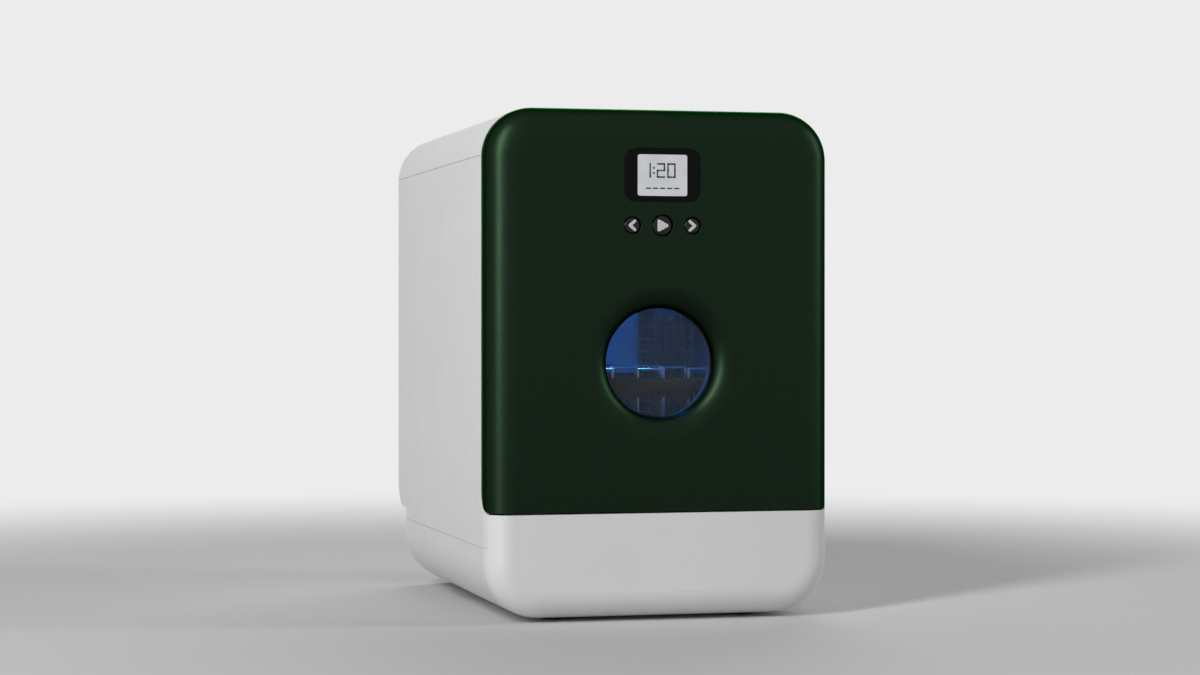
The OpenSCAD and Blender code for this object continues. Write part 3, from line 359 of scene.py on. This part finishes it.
def makeFinish(look):
    f = Finish(look["name"], look["colour"], look["roughness"], look.get("metallic", 0.0), look.get("specular", 0.5))
    if "edge" in look:
        f.softEdges(look["edge"])
    for scale, detail, depth, strength in look.get("bumps", []):
        f.bump(f.noise(scale, detail, look.get("bumpGrain", unstretched)), depth, strength)
    if "tint" in look:
        source = f.cells(look["tintCells"]) if "tintCells" in look else f.noise(*look["tintNoise"])
        f.ramp(source, look["tint"], look.get("tintOf", "Base Color"))
    if "gloss" in look:
        scale, detail, low, high = look["gloss"]
        f.varyRoughness(f.noise(scale, detail, look.get("glossGrain", unstretched)), low, high)
    for key, value in look.get("values", {}).items():
        f.surface.inputs[key].default_value = value
    return f.material


finishes = {slot: makeFinish(look) for slot, look in looks.items()}
for part in frame["record"]["subparts"]:
    for materialSlot in frame["nodes"][part["node"]].material_slots:
        materialSlot.material = finishes[part["material_slot"]]
print("finishes made:", len(finishes))


# ---- door
doorShape = {
    "frontRound": 25,  # depth of the rounding from the front face to the sides
    "frontReach": 37,  # how far that rounding reaches over the front
    "frontPower": 2.25,  # 2 is an ellipse, more is squarer
    "cornerRound": 47,  # top corners, seen from the front
    "heelRound": 23,  # lower rear edge, round the hinge
    "edgeRound": 0.9,
    "footCut": 0.3,  # share of the edge's rounding that the lower corners lose
    "wall": 2.6,
    "hingeX": 120,
    "hingeSlot": 2.8,  # half the width of a slot over a hinge bracket
    "slotDepth": 2.5,  # where the slots start, from the front face
    "slotColumns": (3, 5),  # the columns of faces that lie between the two sides of a slot
    "tolerance": 0.01,
    "leastStep": 0.004,  # rows that lie closer become one
}
doorSteps = {"front": 28, "heel": 14, "edge": 4, "rearEdge": 3, "corner": 20}
dish = {"mouth": 75.5, "edge": 52.2, "depth": 15.8, "centreZ": 247, "steps": 96, "profileSteps": 24}
lensShape = {
    "width": 75, "height": 51, "corner": 11.5, "centreZ": 426, "sunk": 0.2,
    "edge": 0.3,
    "pocket": 1.8,  # depth of its pocket in the door
    "clearance": 0.2,
    "lip": 0.35, "lipCut": 0.3,  # rounding round the pocket, and the share of it where its middle lies
    "screenWidth": 49, "screenHeight": 39.5, "screenCorner": 2.2, "screenCornerSteps": 4,
    "panelSunk": 0.12, "panelEdge": 0.1,
}
keyShape = {"z": 378, "pitch": 29.7, "side": 8.2, "middle": 10.2, "gap": 0.3, "lip": 0.5, "lipSteps": 4, "wall": 3,
            "steps": 48}


def rounding(distance, r):
    # how far a rounded edge draws in, at a distance from the face it meets
    if distance >= r:
        return 0.0
    return r - sqrt(max(0.0, r * r - (r - distance) ** 2))


def softRounding(deep):
    # the same for the front edge, which runs out softly into the flat front
    s = doorShape
    if deep >= s["frontRound"]:
        return 0.0
    fall = (1 - max(0.0, deep) / s["frontRound"]) ** s["frontPower"]
    return s["frontReach"] * (1 - (1 - fall) ** (1 / s["frontPower"]))


def steppedRound(r, steps):
    # distances from the face that follow a quarter round evenly
    return [r * (1 - cos(a)) for a in quarter(steps)]


def doorOutline(y):
    # closed outline of the door across the body at a depth y, from the lower left corner anticlockwise
    s = doorShape
    deep = y - frontY
    edge = s["edgeRound"]
    inset = max(softRounding(deep), rounding(doorRearY - y, edge))
    heelStart = doorRearY - s["heelRound"]
    low = doorLow[2] + rounding(deep, edge)
    if y > heelStart:
        reach = min(1.0, (y - heelStart) / s["heelRound"])
        low = doorLow[2] + s["heelRound"] * (1 - sqrt(max(0.0, 1 - reach * reach)))
    w, top, r = halfWidth - inset, topZ - inset, s["cornerRound"] - inset
    cut = edge * s["footCut"]
    foot = [(-w, low + edge), (-w + cut, low + cut), (-w + edge, low)]
    slots = [side * s["hingeX"] + offset * s["hingeSlot"] for side in (-1, 1) for offset in (-1, 1)]
    bottom = foot + [(x, low) for x in slots] + [(-x, z) for x, z in reversed(foot)]
    steps = doorSteps["corner"]
    return bottom + arc(w - r, top - r, r, 0, 90, steps) + arc(-w + r, top - r, r, 90, 180, steps)


def doorRows():
    # the depths at which the outline is taken, close together where the door is round
    s = doorShape
    fronts = [s["frontRound"] * (1 - sin(a) ** (2 / s["frontPower"])) for a in quarter(doorSteps["front"])]
    fronts += [s["slotDepth"]] + steppedRound(s["edgeRound"], doorSteps["edge"])[1:]
    heelStart = doorRearY - s["heelRound"]
    ys = {round(frontY + d, 3) for d in fronts}
    ys |= {round(heelStart + s["heelRound"] * sin(a), 3) for a in quarter(doorSteps["heel"])}
    ys |= {round(doorRearY - d, 3) for d in steppedRound(s["edgeRound"], doorSteps["rearEdge"])}
    ys = sorted(ys)
    return [y for i, y in enumerate(ys) if i == 0 or y - ys[i - 1] > s["leastStep"]]


def doorSides(bm):
    # the rounded sides with their hinge slots; gives back the edge of the flat front
    s = doorShape
    ys = doorRows()
    rows = [ring(bm, doorOutline(y), y) for y in ys]
    slotStart = frontY + s["slotDepth"] - s["tolerance"]
    count = len(rows[0])
    for y, a, b in zip(ys, rows, rows[1:]):
        for i in range(count):
            if i in s["slotColumns"] and y >= slotStart:
                continue
            j = (i + 1) % count
            bm.faces.new((a[i], a[j], b[j], b[i]))
    return rows[0]


def dishSides(bm):
    # one long elliptical rounding, from the flat front in to the edge of the glass
    d = dish
    profile = [(d["mouth"] - (d["mouth"] - d["edge"]) * sin(a), d["depth"] * (1 - cos(a)))
               for a in quarter(d["profileSteps"])]
    return lathe(bm, profile, 0, d["centreZ"], d["steps"])[0]


def pocketSides(bm):
    # the pocket of the display
    g = lensShape
    cut = g["lip"] * g["lipCut"]
    rows = []
    for out, deep in [(g["lip"], 0), (cut, cut), (0, g["lip"]), (0, g["pocket"])]:
        grow = out + g["clearance"]
        outline = centredRect(g["width"] / 2 + grow, g["height"] / 2 + grow, g["centreZ"], g["corner"] + grow)
        rows.append(ring(bm, outline, frontY + deep))
    bridge(bm, rows, closed=True)
    return rows[0]


def keyHoleSides(bm, place):
    k = keyShape
    r = (k["side"] if place else k["middle"]) + k["gap"]
    lip = [(r + k["lip"] * (1 - sin(a)), k["lip"] * (1 - cos(a))) for a in quarter(k["lipSteps"])]
    return lathe(bm, lip + [(r, k["wall"])], place * k["pitch"], k["z"], k["steps"])[0]


def buildDoor():
    bm = bmesh.new()
    loops = [doorSides(bm), dishSides(bm), pocketSides(bm)]
    loops += [keyHoleSides(bm, place) for place in (-1, 0, 1)]
    fillFlat(bm, loops)
    softShade(makePiece("doorShell", bm, finishes["green_front"], "door", ["door_outer"],
                        wall=doorShape["wall"]))


buildDoor()
print("door shell built")


# ---- display
plateSteps = 3
figures = {
    "text": "1:20", "height": 12.6, "width": 6.8, "stroke": 1.6, "gap": 3.6, "z": 430.5,
    "dotHeights": (0.3, 0.7), "dotWidth": 0.1, "dotGrow": 1.25,
    "bars": 5, "barLength": 4.4, "barPitch": 7.0, "barStroke": 1.3, "barZ": 413.5,
    "thick": 0.06,
}
litSegments = {"0": "abcdef", "1": "bc", "2": "abged"}


def plate(bm, outlines, y0, y1, edge):
    # a flat plate with a rounded front edge: the outer outline, then a hole's; each takes how far it draws in
    sides = []
    for outline in outlines:
        rows = [ring(bm, outline(edge * (1 - sin(a))), y0 + edge * (1 - cos(a))) for a in quarter(plateSteps)]
        rows.append(ring(bm, outline(0), y1))
        bridge(bm, rows, closed=True)
        sides.append(rows)
    fillFlat(bm, [rows[0] for rows in sides])
    fillFlat(bm, [rows[-1] for rows in sides])


def buildLens():
    # the black bezel and the lit panel in its opening; gives back the depth of the panel's front
    g = lensShape
    front, back = frontY + g["sunk"], frontY + g["pocket"]
    panelFront = front + g["panelSunk"]

    def bezelOutline(d):
        return centredRect(g["width"] / 2 - d, g["height"] / 2 - d, g["centreZ"], g["corner"] - d)

    def opening(d):
        return centredRect(g["screenWidth"] / 2 + d, g["screenHeight"] / 2 + d, g["centreZ"],
                           g["screenCorner"] + d, g["screenCornerSteps"])

    bm = bmesh.new()
    plate(bm, [bezelOutline, opening], front, back, g["edge"])
    softShade(makePiece("displayBezel", bm, finishes["black_gloss"], "door", ["screen_lens"]))
    bm = bmesh.new()
    plate(bm, [lambda d: opening(-d)], panelFront, back, g["panelEdge"])
    softShade(makePiece("displayPanel", bm, finishes["display"], "door"))
    return panelFront


def stroke(bm, start, end, width, y0, y1, steps=8):
    # a flat line with round ends
    (xa, za), (xb, zb) = start, end
    r = width / 2
    length = sqrt((xb - xa) ** 2 + (zb - za) ** 2)
    turn = degrees(acos(max(-1, min(1, (xb - xa) / length)))) * (1 if zb >= za else -1)
    outline = arc(xb, zb, r, turn - 90, turn + 90, steps) + arc(xa, za, r, turn + 90, turn + 270, steps)
    rows = [ring(bm, outline, y0), ring(bm, outline, y1)]
    capEnds(bm, rows)
    bridge(bm, rows, closed=True)


def buildFigures(y):
    # seven-segment figures and a row of bars, just in front of the panel at a depth y
    f = figures
    w, h = f["width"], f["height"]
    y0 = y - f["thick"]
    ends = {"a": ((0, h), (w, h)), "b": ((w, h), (w, h / 2)), "c": ((w, h / 2), (w, 0)), "d": ((0, 0), (w, 0)),
            "e": ((0, 0), (0, h / 2)), "f": ((0, h / 2), (0, h)), "g": ((0, h / 2), (w, h / 2))}
    widths = [0 if c in ":1" else w for c in f["text"]]
    x = -(sum(widths) + f["gap"] * (len(widths) - 1)) / 2
    low = f["z"] - h / 2
    bm = bmesh.new()
    for c, wide in zip(f["text"], widths):
        if c == ":":
            half = f["dotWidth"] / 2
            for share in f["dotHeights"]:
                z = low + h * share
                stroke(bm, (x - half, z), (x + half, z), f["stroke"] * f["dotGrow"], y0, y)
        elif c == "1":
            stroke(bm, (x, low), (x, low + h), f["stroke"], y0, y)
        else:
            for segment in litSegments[c]:
                start, end = [(x + px, low + pz) for px, pz in ends[segment]]
                stroke(bm, start, end, f["stroke"], y0, y)
        x += wide + f["gap"]
    for i in range(f["bars"]):
        x = (i - (f["bars"] - 1) / 2) * f["barPitch"]
        half = f["barLength"] / 2
        stroke(bm, (x - half, f["barZ"]), (x + half, f["barZ"]), f["barStroke"], y0, y)
    makePiece("displayFigures", bm, finishes["display_ink"], "door")


# ---- keys
keyCap = {
    "dome": 3.0,  # radius of the domed face, as a share of the key's radius
    "domeRings": (0.12, 0.3, 0.5, 0.68, 0.8),  # where the dome's rings lie, as shares of that radius
    "sunk": 0.15, "rim": 2.3, "rimSteps": 6,
    "flangeGap": 0.3, "flange": 1.4, "flangeThick": 0.9,  # behind the door
    "stem": 2.2, "stemEnd": 5.6,
}
iconShape = {
    "triangleLeft": -3.5, "triangleRight": 4.7, "triangleHalf": 4.35, "triangleRound": 1.4, "triangleSteps": 6,
    "chevronHalf": 4.15, "chevronReach": 2.4, "chevronStroke": 2.85, "chevronSteps": 8,
    "strips": 7, "stripWidth": 0.8,
    "lift": 0.08, "root": 0.3,  # above and below the key's dome
}


def domeDepth(r, radius):
    sphere = radius * keyCap["dome"]
    return sphere - sqrt(sphere ** 2 - r * r)


def buildKey(name, place, radius, node, body):
    k = keyCap
    inner = radius - k["rim"]
    top = [(radius * share, domeDepth(radius * share, radius)) for share in k["domeRings"]]
    top = [(r, d) for r, d in top if r < inner]
    edge = domeDepth(inner, radius)
    side = [(inner + k["rim"] * sin(a), edge + k["rim"] * (1 - cos(a))) for a in quarter(k["rimSteps"])]
    back = keyShape["wall"] + k["flangeGap"]
    flangeBack = back + k["flangeThick"]
    stem = [(radius, back), (radius + k["flange"], back), (radius + k["flange"], flangeBack), (k["stem"], flangeBack),
            (k["stem"], k["stemEnd"])]
    profile = [(r, d + k["sunk"]) for r, d in top + side] + stem
    bm = bmesh.new()
    capEnds(bm, lathe(bm, profile, place * keyShape["pitch"], keyShape["z"], keyShape["steps"]))
    softShade(makePiece(name, bm, finishes["key_gloss"], body, [node]))


def triangleOutline():
    # a round-cornered triangle that points right
    k = iconShape
    left, right, half = k["triangleLeft"], k["triangleRight"], k["triangleHalf"]
    slope = 90 - degrees(acos(half / sqrt(half ** 2 + (right - left) ** 2)))
    points = []
    for px, pz, start, end in [(right, 0, -90 + slope, 90 - slope), (left, half, 90 - slope, 180),
                               (left, -half, 180, 270 + slope)]:
        points += arc(px, pz, k["triangleRound"], start, end, k["triangleSteps"])
    return points


def chevronOutline():
    # a two-armed arrow that points right, with round ends and a round nose
    k = iconShape
    reach, half, steps = k["chevronReach"], k["chevronHalf"], k["chevronSteps"]
    r = k["chevronStroke"] / 2
    turn = degrees(acos(2 * reach / sqrt((2 * reach) ** 2 + half ** 2)))
    nose = arc(reach, 0, r, turn - 90, 90 - turn, steps)
    upperEnd = arc(-reach, half, r, 90 - turn, 270 - turn, steps)
    crotch = (reach - r / sin(radians(turn)), 0)
    lowerEnd = arc(-reach, -half, r, 90 + turn, 270 + turn, steps)
    return nose + upperEnd + [crotch] + lowerEnd


def buildIcon(name, place, radius, body, outline, way):
    k = iconShape
    x, z = place * keyShape["pitch"], keyShape["z"]
    points = [(x + way * px, z + pz) for px, pz in outline]
    bm = bmesh.new()
    rows = [ring(bm, points, 0.0), ring(bm, points, 1.0)]
    capEnds(bm, rows)
    bridge(bm, rows, closed=True)
    bmesh.ops.triangulate(bm, faces=[face for face in bm.faces if len(face.verts) > 4])
    # cut into narrow strips, so that the flat sign can follow the key's dome
    for axis, centre in [((1, 0, 0), x), ((0, 0, 1), z)]:
        for i in range(-k["strips"], k["strips"] + 1):
            at = [(k["stripWidth"] * i + centre) * a for a in axis]
            bmesh.ops.bisect_plane(bm, geom=bm.verts[:] + bm.edges[:] + bm.faces[:], plane_co=at, plane_no=axis)
    for vert in bm.verts:
        r = sqrt((vert.co.x - x) ** 2 + (vert.co.z - z) ** 2)
        onFront = vert.co.y < 0.5
        vert.co.y = frontY + keyCap["sunk"] + domeDepth(r, radius) - (k["lift"] if onFront else -k["root"])
    softShade(makePiece(name, bm, finishes["key_icon"], body))


buildFigures(buildLens())
for keyName, place, radius, node, body, outline, way in [
        ("backKey", -1, keyShape["side"], "button_back", "back_key", chevronOutline(), -1),
        ("startKey", 0, keyShape["middle"], "button_start", "start_key", triangleOutline(), 1),
        ("nextKey", 1, keyShape["side"], "button_next", "next_key", chevronOutline(), 1)]:
    buildKey(keyName, place, radius, node, body)
    buildIcon(keyName + "Icon", place, radius, body, outline, way)
print("display and keys built")


# ---- small trims of the housing
seam = {
    "z": 71.02, "height": 0.26, "depth": 1.6, "sunk": 0.45,
    "frontRound": 25, "wrap": 17, "wrapTurn": 68, "wrapSteps": 10,  # how far it runs round the front
    "rearStep": 51,  # where it ends, from the rear
}
thread = {"x": 60, "z": 45, "start": 197.5, "pitch": 1.9, "turns": 9, "root": 12.9, "crest": 13.5,
          "rootHalf": 0.7, "crestHalf": 0.18, "steps": 24}


def buildSeamStrip(name, side):
    # a white lip that closes most of the seam between the side panel and the base
    s = seam
    r = s["frontRound"] - s["sunk"]
    turns = [radians(s["wrapTurn"] * (1 - i / s["wrapSteps"])) for i in range(s["wrapSteps"] + 1)]
    plan = [(halfWidth - s["frontRound"] + r * cos(a), frontY + s["frontRound"] - r * sin(a)) for a in turns]
    plan = [(x, y) for x, y in plan if y > frontY + s["wrap"]] + [(halfWidth - s["sunk"], -frontY - s["rearStep"])]
    low, high = s["z"], s["z"] + s["height"]
    bm = bmesh.new()
    rows = []
    for x, y in plan:
        inner = x - s["depth"]
        rows.append([bm.verts.new((side * cx, y, cz)) for cx, cz in [(x, low), (x, high), (inner, high), (inner, low)]])
    bridge(bm, rows, closed=True)
    capEnds(bm, rows)
    makePiece(name, bm, finishes["white_shell"], "housing")


def buildInletThread():
    # the ridge of the water inlet's screw thread
    t = thread
    section = [(t["root"], -t["rootHalf"]), (t["crest"], -t["crestHalf"]), (t["crest"], t["crestHalf"]),
               (t["root"], t["rootHalf"])]
    bm = bmesh.new()
    rows = []
    for i in range(t["turns"] * t["steps"] + 1):
        a = 2 * pi * i / t["steps"]
        y = t["start"] + t["pitch"] * i / t["steps"]
        rows.append([bm.verts.new((t["x"] + r * cos(a), y + d, t["z"] + r * sin(a))) for r, d in section])
    bridge(bm, rows)
    capEnds(bm, rows)
    softShade(makePiece("inletThread", bm, finishes["dark_plastic"], "housing"))


buildSeamStrip("leftSeamStrip", -1)
buildSeamStrip("rightSeamStrip", 1)
buildInletThread()
print("housing trims built")


# ---- camera, floor and light, in metres and watts
camera = {"place": (-0.6885, -2.7406, 0.2813), "turn": (89.775, 0, -14.1), "lens": 81.35, "sensor": 36,
          "clip": (0.05, 60)}
lampTarget = (0, 0, 0.25)
lamps = [
    # name, place, size, power
    ("leftSoftbox", (-2.95, -2.75, 2.0), (0.66, 3.7), 158),
    ("rightSoftbox", (3.6, -0.9, 1.6), (0.9, 2.4), 42),
    ("rearSoftbox", (1.4, 3.6, 2.8), (2.6, 2.2), 62),
]
worldShade = {"light": 0.15, "shown": 0.84}  # what the room gives as light, and how it looks
floorShade = {
    "colour": (0.60, 0.61, 0.60), "roughness": 0.85, "specular": 0.1,
    "mottleNoise": (3, 3), "mottle": 1.02,
    "reach": 9, "parts": 8,
    "fadeStart": 0.7, "fadeEnd": 1.9,  # distances from the object
}


def buildCamera():
    data = bpy.data.cameras.new("camera")
    data.lens = camera["lens"]
    data.sensor_width = camera["sensor"]
    data.clip_start, data.clip_end = camera["clip"]
    holder = bpy.data.objects.new("camera", data)
    holder.location = camera["place"]
    holder.rotation_euler = [radians(a) for a in camera["turn"]]
    bpy.context.collection.objects.link(holder)
    bpy.context.scene.camera = holder


def mathNode(tree, operation, a, b):
    node = tree.nodes.new("ShaderNodeMath")
    node.operation = operation
    tree.links.new(a, node.inputs[0])
    tree.links.new(b, node.inputs[1])
    return node.outputs["Value"]


def roomSeen(tree):
    # 1 where the camera, a gloss or a glass looks at the room, 0 where the room only gives light
    path = tree.nodes.new("ShaderNodeLightPath").outputs
    seen = mathNode(tree, "MAXIMUM", path["Is Camera Ray"], path["Is Glossy Ray"])
    return mathNode(tree, "MAXIMUM", seen, path["Is Transmission Ray"])


def buildFloor():
    s = floorShade
    bm = bmesh.new()
    bmesh.ops.create_grid(bm, x_segments=s["parts"], y_segments=s["parts"], size=s["reach"])
    mesh = bpy.data.meshes.new("floor")
    bm.to_mesh(mesh)
    bm.free()
    floor = bpy.data.objects.new("floor", mesh)
    bpy.context.collection.objects.link(floor)
    f = Finish("floorPaper", s["colour"], s["roughness"], specular=s["specular"])
    f.ramp(f.noise(*s["mottleNoise"]), tinted(s["colour"], [c * s["mottle"] for c in s["colour"]]))
    # away from the object the paper fades into the pale room behind it
    tree = f.tree
    reach = tree.nodes.new("ShaderNodeVectorMath")
    reach.operation = "LENGTH"
    tree.links.new(f.place, reach.inputs[0])
    fade = tree.nodes.new("ShaderNodeMapRange")
    fade.interpolation_type = "SMOOTHSTEP"
    fade.inputs["From Min"].default_value = s["fadeStart"]
    fade.inputs["From Max"].default_value = s["fadeEnd"]
    tree.links.new(reach.outputs["Value"], fade.inputs["Value"])
    glow = tree.nodes.new("ShaderNodeEmission")
    glow.inputs["Strength"].default_value = worldShade["shown"]
    mix = tree.nodes.new("ShaderNodeMixShader")
    tree.links.new(mathNode(tree, "MULTIPLY", fade.outputs["Result"], roomSeen(tree)), mix.inputs["Fac"])
    tree.links.new(f.surface.outputs["BSDF"], mix.inputs[1])
    tree.links.new(glow.outputs["Emission"], mix.inputs[2])
    tree.links.new(mix.outputs["Shader"], tree.nodes["Material Output"].inputs["Surface"])
    mesh.materials.append(f.material)


def buildLight():
    for name, place, size, watts in lamps:
        data = bpy.data.lights.new(name, "AREA")
        data.shape = "RECTANGLE"
        data.size, data.size_y = size
        data.energy = watts
        lamp = bpy.data.objects.new(name, data)
        lamp.location = place
        aim = [t - p for t, p in zip(lampTarget, place)]
        lamp.rotation_euler = Vector(aim).to_track_quat("-Z", "Y").to_euler()
        bpy.context.collection.objects.link(lamp)
    world = bpy.data.worlds.new("studio")
    world.use_nodes = True
    bpy.context.scene.world = world
    tree = world.node_tree
    back = tree.nodes["Background"]
    back.inputs["Color"].default_value = (1, 1, 1, 1)
    level = tree.nodes.new("ShaderNodeMapRange")
    level.inputs["To Min"].default_value = worldShade["light"]
    level.inputs["To Max"].default_value = worldShade["shown"]
    tree.links.new(roomSeen(tree), level.inputs["Value"])
    tree.links.new(level.outputs["Result"], back.inputs["Strength"])


buildCamera()
buildFloor()
buildLight()
bpy.context.scene.view_settings.view_transform = "Standard"
print("camera, floor and light set")
